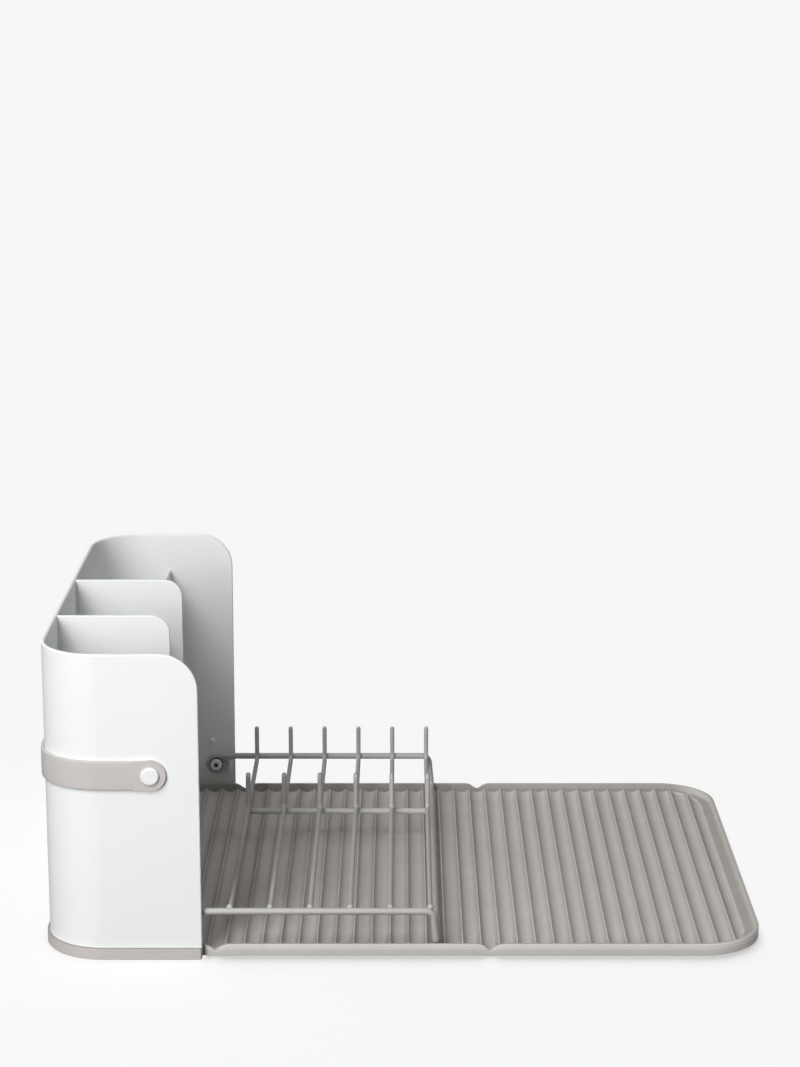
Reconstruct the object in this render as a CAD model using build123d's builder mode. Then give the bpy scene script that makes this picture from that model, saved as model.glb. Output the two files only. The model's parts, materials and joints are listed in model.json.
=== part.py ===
"""Folding dish drying rack.

A U-shaped cutlery caddy stands in a soft base boot. A coated wire plate rack folds up on two
pivot screws inside the caddy, and a ribbed drying mat with two living hinges folds up after it.
An elastic strap on two buttons swings from the back of the caddy to the front to hold it shut.

Frame: origin at the bottom centre of the whole object, +X from the caddy towards the free end
of the mat, +Y from the front of the rack to its back, +Z up. Millimetres.
"""
import os
from math import sqrt

from build123d import *

os.makedirs("parts", exist_ok=True)

# --- whole object -------------------------------------------------------------------------
HALF_LENGTH = 290.65         # strap at the back of the caddy to the free end of the mat
RIB_PITCH = 14.7             # spacing of the mat's ridges
RUN_CLEAR = 0.05             # radial clearance of a pin in its hole
OVERRUN = 1.0                # how far a cut or a joined solid runs past a face

# --- strap --------------------------------------------------------------------------------
STRAP_T = 2.6
STRAP_H = 24.0
STRAP_GAP = 0.2
RING_R = 12.5
BUTTON_X, BUTTON_Z = -199.05, 153.9
BUTTON_R = 7.25
BUTTON_T = 2.2
BUTTON_ROUND = 1.4
BUTTON_NECK_R = 5.0
BUTTON_SHANK_R = 3.0         # the shank ends flush with the inside of the wall

# --- caddy shell --------------------------------------------------------------------------
WALL = 3.0
SHELL_BACK = -HALF_LENGTH + STRAP_T + STRAP_GAP
SHELL_FRONT = -160.55
SHELL_HALF_W = 209.7
SHELL_TOP = 252.0
SHELL_CORNER_R = 48.0        # plan radius of the two back corners
SHELL_NOSE_R = 30.0          # upper front corner of each side wall
SHELL_INNER_W = SHELL_HALF_W - WALL
EDGE_ROUND = 1.2
GUIDE_RIB_W = 2.0            # upright ribs on the back wall that hold the dividers
GUIDE_RIB_DEPTH = 3.0
GUIDE_RIB_TOP = 230.0

# --- base boot ----------------------------------------------------------------------------
BOOT_T = 2.0
BOOT_RIM_H = 9.6
BOOT_FIT = 0.05
BOOT_HALF_W = SHELL_HALF_W + BOOT_FIT + BOOT_T
BOOT_BACK = SHELL_BACK - BOOT_FIT - BOOT_T
BOOT_FRONT = -160.85
BOOT_CORNER_R = SHELL_CORNER_R + BOOT_FIT + BOOT_T
BOOT_FLOOR_FRONT = -217.05   # the floor stops here and the mat takes over
BOOT_LEDGE_INNER = 203.0     # ledge under each side wall, beside the mat
BOOT_END_ROUND = 1.6
BOOT_FOOT_ROUND = 0.6

# --- inside the caddy ---------------------------------------------------------------------
PANEL_T = 2.5
PARTITION_FRONT = -218.45    # face of the compartment wall that looks at the plate rack
PARTITION_TOP = 218.0
PARTITION_ROUND = 1.0
DIVIDER_FRONT = -192.45
DIVIDER_NOSE_R = 15.0
DIVIDER_ROUND = 0.8
DIVIDERS = {"front_divider": -89.8, "rear_divider": 31.5}
LAP_Z = 116.0                # height of the cross-lap joint of dividers and partition
LAP_CLEAR = 0.1
DRAIN_BOTTOM = 11.5
DRAIN_T = 2.0
DRAIN_HOLE_R = 3.0
DRAIN_HOLE_PITCH = 13.0
DRAIN_HOLES = (4, 28)
DRAIN_END_GAP = 1.5
DRAIN_SIDE_GAP = 0.6
DRAIN_FRONT_GAP = 0.2
DRAIN_LEG_R = 2.5
DRAIN_LEG_SPACING = 130.0

# --- mat ----------------------------------------------------------------------------------
MAT_HALF_W = 202.5
MAT_RIM_H = 9.6
MAT_RIM_T = 3.2
MAT_CORNER_R = 50.0
RIDGE_TOP = 5.3
GROOVE_Z = 2.1
RIDGE_FLAT = 0.6
HINGE_1_X = -150.45
HINGE_2_X = HINGE_1_X + 15 * RIB_PITCH
HINGE_GAP = 0.05
FLOOR_GAP = 0.1              # between the boot's floor and the mat in front of it
TONGUE_BACK = -236.75
TONGUE_INSET = 15.0
TONGUE_TOP = BOOT_T + 2.6
STUD_X = -227.75
STUD_SPACING = 100.0
STUD_R = 2.5
STUD_HEAD_R = 5.0
STUD_HEAD_T = 1.5
STUD_BOTTOM = 0.4

# --- plate rack ---------------------------------------------------------------------------
FRAME_R = 2.75
WIRE_R = 2.0
PIVOT_X, PIVOT_Z = -178.05, 29.6
EYE_R = 7.4
RAIL_Y = 200.9
RAIL_Z = PIVOT_Z + EYE_R
LEG_TOP_X = 23.85
LEG_FOOT_X = 26.65
LEG_FOOT_Y = 196.2
REST_GAP = 0.35              # between the rack and what it rests on
FOOT_Z = RIDGE_TOP + FRAME_R + REST_GAP
FRAME_BEND_R = 7.0
SLOT_PITCH = 32.1
FIRST_WIRE_X = -138.95
WIRE_COUNT = 6
WIRE_Z = 35.4
TIP_TOP = 67.7
HAIRPIN_Y = 57.5
HAIRPIN_R = 3.0
FOOT_BEND_R = 4.0
END_BEND_R = 6.0
WELD = 0.25                  # depth that welded wires sink into each other
MID_RAIL_Y = 59.6
RAIL_END_ROUND = 1.0
WIRE_END_GAP = 1.0           # from the middle of the near rail to the wires' ends
MID_RAIL_Z = WIRE_Z - WIRE_R - FRAME_R + WELD

# --- pivot hardware -----------------------------------------------------------------------
BOSS_R = 7.5
BOSS_T = 1.8
WASHER_R = 8.5
WASHER_T = 1.0
PIVOT_SHANK_R = 2.5
PIVOT_HEAD_R = 5.5
PIVOT_HEAD_T = 3.2
PIVOT_HEAD_ROUND = 1.0
PIVOT_END_GAP = 0.2
HEX_R = 4.0 / sqrt(3)
HEX_DEPTH = 2.0
PIVOT_DEPTH = 3.6
BUSH_R = EYE_R - FRAME_R - RUN_CLEAR
BOSS_FACE = SHELL_INNER_W - BOSS_T
WASHER_FACE = BOSS_FACE - WASHER_T
BUSH_PROUD = 0.2
BUSH_END = RAIL_Y - FRAME_R - BUSH_PROUD
PEG_X, PEG_Z, PEG_R = -181.75, 50.2, 2.8
PEG_T = 2.6
PEG_ROUND = 2.0
STOP_X0, STOP_X1 = -165.85, -162.15
STOP_Z0, STOP_Z1 = 23.8, RAIL_Z - FRAME_R - REST_GAP
STOP_INNER = 199.5

SIDES = {"near": -1, "far": 1}


def side_plane(side, distance, x=0.0, z=0.0):
    """Plane at a distance from the middle, whose normal points away from the middle."""
    return Plane(origin=(x, side * distance, z), x_dir=(-side, 0, 0), z_dir=(0, side, 0))


def u_outline(front, back, half_width, radius):
    """Plan shape that is square at its front and has two rounded back corners."""
    with BuildSketch(mode=Mode.PRIVATE) as outline:
        with BuildLine():
            FilletPolyline(
                (front, -half_width),
                (back, -half_width),
                (back, half_width),
                (front, half_width),
                radius=radius,
            )
            Line((front, half_width), (front, -half_width))
        make_face()
    return outline.sketch


def save(piece, label):
    """Label a finished piece and write it under the same name."""
    piece.part.label = label
    export_step(piece.part, f"parts/{label}.step")


# --- caddy shell --------------------------------------------------------------------------
with BuildPart() as caddy_shell:
    with BuildSketch(Plane.XY.offset(BOOT_T)):
        add(u_outline(SHELL_FRONT, SHELL_BACK, SHELL_HALF_W, SHELL_CORNER_R))
        add(
            u_outline(SHELL_FRONT + OVERRUN, SHELL_BACK + WALL, SHELL_INNER_W, SHELL_CORNER_R - WALL),
            mode=Mode.SUBTRACT,
        )
    extrude(amount=SHELL_TOP - BOOT_T)
    with BuildSketch(Plane.XZ):
        with Locations(((SHELL_FRONT + SHELL_BACK) / 2, (SHELL_TOP + BOOT_T) / 2)):
            side_view = Rectangle(SHELL_FRONT - SHELL_BACK, SHELL_TOP - BOOT_T)
        fillet(side_view.vertices().group_by(Axis.Z)[-1].sort_by(Axis.X)[-1], SHELL_NOSE_R)
    extrude(amount=SHELL_HALF_W + OVERRUN, both=True, mode=Mode.INTERSECT)
    wall_edges = caddy_shell.edges().filter_by_position(
        Axis.Z, BOOT_T + OVERRUN, SHELL_TOP + OVERRUN)
    fillet(wall_edges.filter_by(lambda e: e.center().Z > SHELL_TOP - 0.01
                                or e.center().X > SHELL_FRONT - SHELL_NOSE_R), EDGE_ROUND)
    for y in DIVIDERS.values():
        for side in (-1, 1):
            rib_y = y + side * (PANEL_T / 2 + LAP_CLEAR + GUIDE_RIB_W / 2)
            with BuildSketch(Plane.XY.offset(BOOT_T)):
                with Locations((SHELL_BACK + WALL + (GUIDE_RIB_DEPTH - OVERRUN) / 2, rib_y)):
                    Rectangle(GUIDE_RIB_DEPTH + OVERRUN, GUIDE_RIB_W)
            extrude(amount=GUIDE_RIB_TOP - BOOT_T)
    for side in SIDES.values():
        with BuildSketch(side_plane(side, BOSS_FACE, PIVOT_X, PIVOT_Z)):
            Circle(BOSS_R)
        extrude(amount=BOSS_T + OVERRUN)
        with BuildSketch(side_plane(side, BOSS_FACE, PIVOT_X, PIVOT_Z)):
            Circle(PIVOT_SHANK_R + RUN_CLEAR)
        extrude(amount=PIVOT_DEPTH, mode=Mode.SUBTRACT)
        with BuildSketch(side_plane(side, SHELL_INNER_W - PEG_T, PEG_X, PEG_Z)):
            Circle(PEG_R)
        extrude(amount=PEG_T + OVERRUN)
        peg_tip = caddy_shell.faces().filter_by(Axis.Y).sort_by(
            lambda f: (f.center() - Vector(PEG_X, side * (SHELL_INNER_W - PEG_T), PEG_Z)).length)[0]
        fillet(peg_tip.edges(), PEG_ROUND)
        with BuildSketch(side_plane(side, STOP_INNER)):
            with Locations((-side * (STOP_X0 + STOP_X1) / 2, (STOP_Z0 + STOP_Z1) / 2)):
                Rectangle(STOP_X1 - STOP_X0, STOP_Z1 - STOP_Z0)
        extrude(amount=SHELL_INNER_W - STOP_INNER + OVERRUN)
        with BuildSketch(side_plane(side, SHELL_INNER_W - OVERRUN, BUTTON_X, BUTTON_Z)):
            Circle(BUTTON_SHANK_R + RUN_CLEAR)
        extrude(amount=WALL + 2 * OVERRUN, mode=Mode.SUBTRACT)
save(caddy_shell, "caddy_shell")

# --- base boot ----------------------------------------------------------------------------
with BuildPart() as base_boot:
    with BuildSketch():
        add(u_outline(BOOT_FRONT, BOOT_BACK, BOOT_HALF_W, BOOT_CORNER_R))
    extrude(amount=BOOT_RIM_H)
    with BuildSketch(Plane.XY.offset(BOOT_T)):
        add(u_outline(BOOT_FRONT + OVERRUN, SHELL_BACK - BOOT_FIT, SHELL_HALF_W + BOOT_FIT,
                      SHELL_CORNER_R + BOOT_FIT))
    extrude(amount=BOOT_RIM_H, mode=Mode.SUBTRACT)
    with BuildSketch():
        with Locations(((BOOT_FLOOR_FRONT + BOOT_FRONT + OVERRUN) / 2, 0)):
            Rectangle(BOOT_FRONT + OVERRUN - BOOT_FLOOR_FRONT, 2 * BOOT_LEDGE_INNER)
    extrude(amount=BOOT_T, mode=Mode.SUBTRACT)
    with BuildSketch():
        with Locations((STUD_X, 0)):
            with GridLocations(0, STUD_SPACING, 1, 4):
                Circle(STUD_R + RUN_CLEAR)
    extrude(amount=BOOT_T, mode=Mode.SUBTRACT)
    fillet(base_boot.edges().filter_by(Axis.Z).filter_by(
        lambda e: abs(e.center().Y) > BOOT_HALF_W - 0.01), BOOT_END_ROUND)
    fillet(base_boot.faces().sort_by(Axis.Z)[0].outer_wire().edges().filter_by(
        lambda e: abs(e.center().Y) > SHELL_HALF_W or e.center().X < SHELL_BACK), BOOT_FOOT_ROUND)
save(base_boot, "base_boot")

# --- dividers -----------------------------------------------------------------------------
for name, y in DIVIDERS.items():
    with BuildPart() as divider:
        with BuildSketch(Plane.XZ.offset(-y)):
            with Locations(((SHELL_BACK + WALL + DIVIDER_FRONT) / 2,
                            (DRAIN_BOTTOM + DRAIN_T + SHELL_TOP) / 2)):
                plate = Rectangle(DIVIDER_FRONT - SHELL_BACK - WALL,
                                  SHELL_TOP - DRAIN_BOTTOM - DRAIN_T)
            fillet(plate.vertices().group_by(Axis.Z)[-1].sort_by(Axis.X)[-1], DIVIDER_NOSE_R)
            with Locations((PARTITION_FRONT - PANEL_T / 2, LAP_Z / 2)):
                Rectangle(PANEL_T + 2 * LAP_CLEAR, LAP_Z, mode=Mode.SUBTRACT)
        extrude(amount=PANEL_T / 2, both=True)
        fillet(divider.edges().filter_by(
            lambda e: (e.center().Z > SHELL_TOP - 0.01
                       or e.center().X > DIVIDER_FRONT - DIVIDER_NOSE_R / 2)
            and abs(e.center().Y - y) > PANEL_T / 4), DIVIDER_ROUND)
    save(divider, name)

# --- compartment wall ---------------------------------------------------------------------
with BuildPart() as compartment_wall:
    with BuildSketch(Plane.YZ.offset(PARTITION_FRONT - PANEL_T)):
        with Locations((0, (DRAIN_BOTTOM + DRAIN_T + PARTITION_TOP) / 2)):
            Rectangle(2 * (SHELL_INNER_W - LAP_CLEAR), PARTITION_TOP - DRAIN_BOTTOM - DRAIN_T)
        for y in DIVIDERS.values():
            with Locations((y, (LAP_Z + PARTITION_TOP) / 2)):
                Rectangle(PANEL_T + 2 * LAP_CLEAR, PARTITION_TOP - LAP_Z, mode=Mode.SUBTRACT)
    extrude(amount=PANEL_T)
    top_edges = compartment_wall.edges().group_by(Axis.Z)[-1]
    fillet(top_edges.filter_by(Axis.Y), PARTITION_ROUND)
save(compartment_wall, "compartment_wall")

# --- drain floor --------------------------------------------------------------------------
DRAIN_FRONT = PARTITION_FRONT - DRAIN_FRONT_GAP
DRAIN_BACK = SHELL_BACK + WALL + GUIDE_RIB_DEPTH + DRAIN_END_GAP - OVERRUN
DRAIN_HALF_W = SHELL_INNER_W - DRAIN_SIDE_GAP
with BuildPart() as drain_floor:
    with BuildSketch(Plane.XY.offset(DRAIN_BOTTOM)):
        add(u_outline(DRAIN_FRONT, DRAIN_BACK, DRAIN_HALF_W, SHELL_CORNER_R - WALL))
        with Locations(((DRAIN_FRONT + DRAIN_BACK) / 2, 0)):
            with GridLocations(DRAIN_HOLE_PITCH, DRAIN_HOLE_PITCH, *DRAIN_HOLES):
                Circle(DRAIN_HOLE_R, mode=Mode.SUBTRACT)
    extrude(amount=DRAIN_T)
    with BuildSketch(Plane.XY.offset(BOOT_T)):
        with Locations((DRAIN_BACK + 1.5 * DRAIN_HOLE_PITCH, 0)):
            with GridLocations(DRAIN_HOLE_PITCH, DRAIN_LEG_SPACING, 2, 3):
                Circle(DRAIN_LEG_R)
    extrude(amount=DRAIN_BOTTOM - BOOT_T)
save(drain_floor, "drain_floor")

# --- mat ----------------------------------------------------------------------------------
SAGITTA = RIDGE_TOP - GROOVE_Z
HALF_CHORD = (RIB_PITCH - RIDGE_FLAT) / 2
SCALLOP_R = (HALF_CHORD ** 2 + SAGITTA ** 2) / (2 * SAGITTA)
MAT_END = HALF_LENGTH
END_RIM_T = 5.0
END_GROOVE = (4.5, 8.5)      # where the groove after the last ridge gets flat and where it ends
END_GROOVE_Z = 2.4
END_RAMP_TOP = 6.8
LAST_RIDGE = HINGE_2_X + 13.5 * RIB_PITCH
NOTCH_DEPTH = MAT_RIM_H - GROOVE_Z + OVERRUN
NOTCH_SPREAD = 1.08          # half width of the V over its depth: a little over 45 degrees


def rounded_end_outline(start, end, half_width, radius):
    """Plan of a panel; with a radius, its two corners at the far end are rounded."""
    with BuildSketch(mode=Mode.PRIVATE) as outline:
        with Locations(((start + end) / 2, 0)):
            shape = Rectangle(end - start, 2 * half_width)
        if radius:
            fillet(shape.vertices().group_by(Axis.X)[-1], radius)
    return outline.sketch


def groove_tool(first_x, count, inner_outline):
    """Solid that cuts the ribbed floor of a panel, inside the panel's rim."""
    with BuildPart() as tool:
        with BuildSketch(Plane.XZ):
            for i in range(count):
                with Locations((first_x + i * RIB_PITCH, GROOVE_Z + SCALLOP_R)):
                    Circle(SCALLOP_R)
            with Locations((first_x + (count - 1) * RIB_PITCH / 2, GROOVE_Z + 2 * SCALLOP_R)):
                Rectangle((count + 4) * RIB_PITCH, 4 * SCALLOP_R - 2 * SAGITTA)
        extrude(amount=MAT_HALF_W, both=True)
        with BuildSketch():
            add(inner_outline)
        extrude(amount=MAT_RIM_H + OVERRUN, mode=Mode.INTERSECT)
    return tool.part


def notch_tool(hinge_x):
    """V across the whole mat at a living hinge, wide enough for the panels to stand upright."""
    half_width = NOTCH_SPREAD * NOTCH_DEPTH
    with BuildPart() as tool:
        with BuildSketch(Plane.XZ):
            with BuildLine():
                Polyline(
                    (hinge_x, GROOVE_Z),
                    (hinge_x + half_width, GROOVE_Z + NOTCH_DEPTH),
                    (hinge_x - half_width, GROOVE_Z + NOTCH_DEPTH),
                    close=True,
                )
            make_face()
        extrude(amount=MAT_HALF_W + OVERRUN, both=True)
    return tool.part


inner_groove_outline = rounded_end_outline(
    HINGE_1_X - OVERRUN, HINGE_2_X + OVERRUN, MAT_HALF_W - MAT_RIM_T, 0)
inner_grooves = groove_tool(HINGE_1_X, 16, inner_groove_outline)
with BuildPart() as mat_inner_panel:
    with BuildSketch():
        add(rounded_end_outline(HINGE_1_X + HINGE_GAP, HINGE_2_X - HINGE_GAP, MAT_HALF_W, 0))
    extrude(amount=MAT_RIM_H)
    add(inner_grooves, mode=Mode.SUBTRACT)
    add(notch_tool(HINGE_1_X), mode=Mode.SUBTRACT)
    add(notch_tool(HINGE_2_X), mode=Mode.SUBTRACT)
save(mat_inner_panel, "mat_inner_panel")

outer_groove_outline = rounded_end_outline(
    HINGE_2_X - OVERRUN, MAT_END - END_RIM_T, MAT_HALF_W - MAT_RIM_T, MAT_CORNER_R - MAT_RIM_T)
outer_grooves = groove_tool(HINGE_2_X, 14, outer_groove_outline)
with BuildPart() as mat_outer_panel:
    with BuildSketch():
        add(rounded_end_outline(HINGE_2_X + HINGE_GAP, MAT_END, MAT_HALF_W, MAT_CORNER_R))
    extrude(amount=MAT_RIM_H)
    add(outer_grooves, mode=Mode.SUBTRACT)
    add(notch_tool(HINGE_2_X), mode=Mode.SUBTRACT)
    with BuildSketch(Plane.XZ):
        with BuildLine():
            Polyline(
                (LAST_RIDGE + RIDGE_FLAT / 2, RIDGE_TOP),
                (LAST_RIDGE + END_GROOVE[0], END_GROOVE_Z),
                (LAST_RIDGE + END_GROOVE[1], END_GROOVE_Z),
                (MAT_END - END_RIM_T, END_RAMP_TOP),
                (MAT_END - END_RIM_T, MAT_RIM_H),
                (LAST_RIDGE + RIDGE_FLAT / 2, MAT_RIM_H),
                close=True,
            )
        make_face()
    extrude(amount=MAT_HALF_W - MAT_CORNER_R, both=True, mode=Mode.SUBTRACT)
save(mat_outer_panel, "mat_outer_panel")

FIXED_BACK = BOOT_FLOOR_FRONT + FLOOR_GAP
fixed_groove_outline = rounded_end_outline(
    FIXED_BACK + MAT_RIM_T, HINGE_1_X + OVERRUN, MAT_HALF_W - MAT_RIM_T, 0)
fixed_grooves = groove_tool(HINGE_1_X - 4 * RIB_PITCH, 5, fixed_groove_outline)
with BuildPart() as mat_fixed_panel:
    with BuildSketch():
        add(rounded_end_outline(FIXED_BACK, HINGE_1_X - HINGE_GAP, MAT_HALF_W, 0))
    extrude(amount=MAT_RIM_H)
    add(fixed_grooves, mode=Mode.SUBTRACT)
    add(notch_tool(HINGE_1_X), mode=Mode.SUBTRACT)
    with BuildSketch(Plane.XY.offset(BOOT_T)):
        with Locations(((TONGUE_BACK + FIXED_BACK + OVERRUN) / 2, 0)):
            Rectangle(FIXED_BACK + OVERRUN - TONGUE_BACK, 2 * (MAT_HALF_W - TONGUE_INSET))
    extrude(amount=TONGUE_TOP - BOOT_T)
    with BuildSketch(Plane.XY.offset(BOOT_T)):
        with Locations((STUD_X, 0)):
            with GridLocations(0, STUD_SPACING, 1, 4):
                Circle(STUD_R + RUN_CLEAR)
    extrude(amount=TONGUE_TOP - BOOT_T, mode=Mode.SUBTRACT)
save(mat_fixed_panel, "mat_fixed_panel")

with BuildPart() as mat_studs:
    with BuildSketch(Plane.XY.offset(STUD_BOTTOM)):
        with Locations((STUD_X, 0)):
            with GridLocations(0, STUD_SPACING, 1, 4):
                Circle(STUD_R)
    extrude(amount=TONGUE_TOP - STUD_BOTTOM)
    with BuildSketch(Plane.XY.offset(TONGUE_TOP)):
        with Locations((STUD_X, 0)):
            with GridLocations(0, STUD_SPACING, 1, 4):
                Circle(STUD_HEAD_R)
    extrude(amount=STUD_HEAD_T)
save(mat_studs, "mat_studs")

# --- pivot hardware and strap buttons, one set on each side wall --------------------------
for side_name, side in SIDES.items():
    with BuildPart() as pivot_screw:
        with BuildSketch(side_plane(side, BUSH_END - PIVOT_HEAD_T, PIVOT_X, PIVOT_Z)):
            Circle(PIVOT_HEAD_R)
        extrude(amount=PIVOT_HEAD_T)
        inner_face = pivot_screw.faces().filter_by(Axis.Y).sort_by(
            lambda f: abs(f.center().Y))[0]
        fillet(inner_face.edges(), PIVOT_HEAD_ROUND)
        with BuildSketch(side_plane(side, BUSH_END - PIVOT_HEAD_T, PIVOT_X, PIVOT_Z)):
            RegularPolygon(HEX_R, 6)
        extrude(amount=HEX_DEPTH, mode=Mode.SUBTRACT)
        with BuildSketch(side_plane(side, BUSH_END, PIVOT_X, PIVOT_Z)):
            Circle(PIVOT_SHANK_R)
        extrude(amount=BOSS_FACE + PIVOT_DEPTH - PIVOT_END_GAP - BUSH_END)
    save(pivot_screw, f"pivot_screw_{side_name}")

    with BuildPart() as pivot_bush:
        with BuildSketch(side_plane(side, BUSH_END, PIVOT_X, PIVOT_Z)):
            Circle(BUSH_R)
            Circle(PIVOT_SHANK_R + RUN_CLEAR, mode=Mode.SUBTRACT)
        extrude(amount=WASHER_FACE - BUSH_END)
    save(pivot_bush, f"pivot_bush_{side_name}")

    with BuildPart() as pivot_washer:
        with BuildSketch(side_plane(side, WASHER_FACE, PIVOT_X, PIVOT_Z)):
            Circle(WASHER_R)
            Circle(PIVOT_SHANK_R + RUN_CLEAR, mode=Mode.SUBTRACT)
        extrude(amount=WASHER_T)
    save(pivot_washer, f"pivot_washer_{side_name}")

    with BuildPart() as strap_button:
        with BuildSketch(side_plane(side, SHELL_INNER_W, BUTTON_X, BUTTON_Z)):
            Circle(BUTTON_SHANK_R)
        extrude(amount=WALL)
        with BuildSketch(side_plane(side, SHELL_HALF_W, BUTTON_X, BUTTON_Z)):
            Circle(BUTTON_NECK_R)
        extrude(amount=STRAP_T + 2 * STRAP_GAP)
        with BuildSketch(side_plane(side, SHELL_HALF_W + STRAP_T + 2 * STRAP_GAP,
                                    BUTTON_X, BUTTON_Z)):
            Circle(BUTTON_R)
        extrude(amount=BUTTON_T)
        outer_face = strap_button.faces().filter_by(Axis.Y).sort_by(
            lambda f: abs(f.center().Y))[-1]
        fillet(outer_face.edges(), BUTTON_ROUND)
    save(strap_button, f"strap_button_{side_name}")

# --- rack frame: one wire from eye to eye -------------------------------------------------
DIAGONAL = EYE_R / sqrt(2)
with BuildPart() as rack_frame:
    with BuildLine() as frame_path:
        ThreePointArc(
            (PIVOT_X + EYE_R, -RAIL_Y, PIVOT_Z),
            (PIVOT_X - DIAGONAL, -RAIL_Y, PIVOT_Z - DIAGONAL),
            (PIVOT_X, -RAIL_Y, RAIL_Z),
        )
        FilletPolyline(
            (PIVOT_X, -RAIL_Y, RAIL_Z),
            (LEG_TOP_X, -RAIL_Y, RAIL_Z),
            (LEG_FOOT_X, -LEG_FOOT_Y, FOOT_Z),
            (LEG_FOOT_X, LEG_FOOT_Y, FOOT_Z),
            (LEG_TOP_X, RAIL_Y, RAIL_Z),
            (PIVOT_X, RAIL_Y, RAIL_Z),
            radius=FRAME_BEND_R,
        )
        ThreePointArc(
            (PIVOT_X, RAIL_Y, RAIL_Z),
            (PIVOT_X - DIAGONAL, RAIL_Y, PIVOT_Z - DIAGONAL),
            (PIVOT_X + EYE_R, RAIL_Y, PIVOT_Z),
        )
    with BuildSketch(Plane(origin=(PIVOT_X + EYE_R, -RAIL_Y, PIVOT_Z), z_dir=(0, 0, -1))):
        Circle(FRAME_R)
    sweep(path=frame_path.wires()[0])
save(rack_frame, "rack_frame")

# --- middle rail --------------------------------------------------------------------------
LAST_WIRE_X = FIRST_WIRE_X + (WIRE_COUNT - 1) * SLOT_PITCH
with BuildPart() as mid_rail:
    with BuildSketch(Plane.YZ.offset(FIRST_WIRE_X - WIRE_R)):
        with Locations((MID_RAIL_Y, MID_RAIL_Z)):
            Circle(FRAME_R)
    extrude(amount=LAST_WIRE_X - FIRST_WIRE_X + 2 * WIRE_R)
    fillet(mid_rail.edges().filter_by(GeomType.CIRCLE), RAIL_END_ROUND)
save(mid_rail, "mid_rail")

# --- plate wires: each one is bent into a hairpin upright and an end upright --------------
WIRE_START_Y = -RAIL_Y + WIRE_END_GAP
END_Y = RAIL_Y - FRAME_R - WIRE_R + WELD
HAIRPIN_TOP = TIP_TOP - WIRE_R
for i in range(WIRE_COUNT):
    x = FIRST_WIRE_X + i * SLOT_PITCH
    leg_in = HAIRPIN_Y - HAIRPIN_R
    leg_out = HAIRPIN_Y + HAIRPIN_R
    with BuildPart() as plate_wire:
        with BuildLine() as wire_path:
            FilletPolyline(
                (x, WIRE_START_Y, WIRE_Z),
                (x, leg_in, WIRE_Z),
                (x, leg_in, HAIRPIN_TOP - HAIRPIN_R),
                radius=FOOT_BEND_R,
            )
            ThreePointArc(
                (x, leg_in, HAIRPIN_TOP - HAIRPIN_R),
                (x, HAIRPIN_Y, HAIRPIN_TOP),
                (x, leg_out, HAIRPIN_TOP - HAIRPIN_R),
            )
            FilletPolyline(
                (x, leg_out, HAIRPIN_TOP - HAIRPIN_R),
                (x, leg_out, WIRE_Z),
                (x, END_Y, WIRE_Z),
                (x, END_Y, TIP_TOP - WIRE_R),
                radius=(FOOT_BEND_R, END_BEND_R),
            )
        with BuildSketch(Plane(origin=(x, WIRE_START_Y, WIRE_Z), z_dir=(0, 1, 0))):
            Circle(WIRE_R)
        sweep(path=wire_path.wires()[0])
        with Locations((x, END_Y, TIP_TOP - WIRE_R)):
            Sphere(WIRE_R)
    save(plate_wire, f"plate_wire_{i + 1}")

# --- closure strap ------------------------------------------------------------------------
STRAP_INNER_W = SHELL_HALF_W + STRAP_GAP
with BuildPart() as closure_strap:
    with BuildSketch(Plane.XY.offset(BUTTON_Z - STRAP_H / 2)):
        add(u_outline(BUTTON_X, -HALF_LENGTH, STRAP_INNER_W + STRAP_T,
                      SHELL_CORNER_R + STRAP_GAP + STRAP_T))
        add(
            u_outline(BUTTON_X + OVERRUN, SHELL_BACK - STRAP_GAP, STRAP_INNER_W,
                      SHELL_CORNER_R + STRAP_GAP),
            mode=Mode.SUBTRACT,
        )
    extrude(amount=STRAP_H)
    for side in SIDES.values():
        with BuildSketch(side_plane(side, STRAP_INNER_W, BUTTON_X, BUTTON_Z)):
            Circle(RING_R)
        extrude(amount=STRAP_T)
        with BuildSketch(side_plane(side, STRAP_INNER_W, BUTTON_X, BUTTON_Z)):
            Circle(BUTTON_NECK_R + RUN_CLEAR)
        extrude(amount=STRAP_T, mode=Mode.SUBTRACT)
save(closure_strap, "closure_strap")
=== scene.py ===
import json
import math

import bmesh
import bpy
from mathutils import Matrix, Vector


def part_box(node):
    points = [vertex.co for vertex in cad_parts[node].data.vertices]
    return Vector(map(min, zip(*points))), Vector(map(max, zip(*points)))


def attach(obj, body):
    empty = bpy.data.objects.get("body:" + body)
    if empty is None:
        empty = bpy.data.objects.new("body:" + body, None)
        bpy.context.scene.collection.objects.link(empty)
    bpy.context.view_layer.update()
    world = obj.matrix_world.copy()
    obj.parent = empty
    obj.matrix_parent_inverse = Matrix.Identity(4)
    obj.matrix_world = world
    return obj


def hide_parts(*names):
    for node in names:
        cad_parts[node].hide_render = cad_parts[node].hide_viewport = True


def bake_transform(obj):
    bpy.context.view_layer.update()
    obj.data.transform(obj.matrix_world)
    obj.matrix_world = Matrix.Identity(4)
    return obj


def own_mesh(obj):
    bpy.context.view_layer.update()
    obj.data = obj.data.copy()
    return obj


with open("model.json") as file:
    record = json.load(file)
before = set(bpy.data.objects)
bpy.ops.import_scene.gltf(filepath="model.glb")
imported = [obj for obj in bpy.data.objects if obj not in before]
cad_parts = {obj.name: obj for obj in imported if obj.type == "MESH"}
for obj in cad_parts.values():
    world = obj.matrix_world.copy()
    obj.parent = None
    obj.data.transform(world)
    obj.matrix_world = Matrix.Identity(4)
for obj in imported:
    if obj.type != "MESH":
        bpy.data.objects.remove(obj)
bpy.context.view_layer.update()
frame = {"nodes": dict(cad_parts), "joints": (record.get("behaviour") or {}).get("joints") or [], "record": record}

MM = 0.001
JOINTS = {joint["name"]: joint for joint in frame["joints"]}


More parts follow.
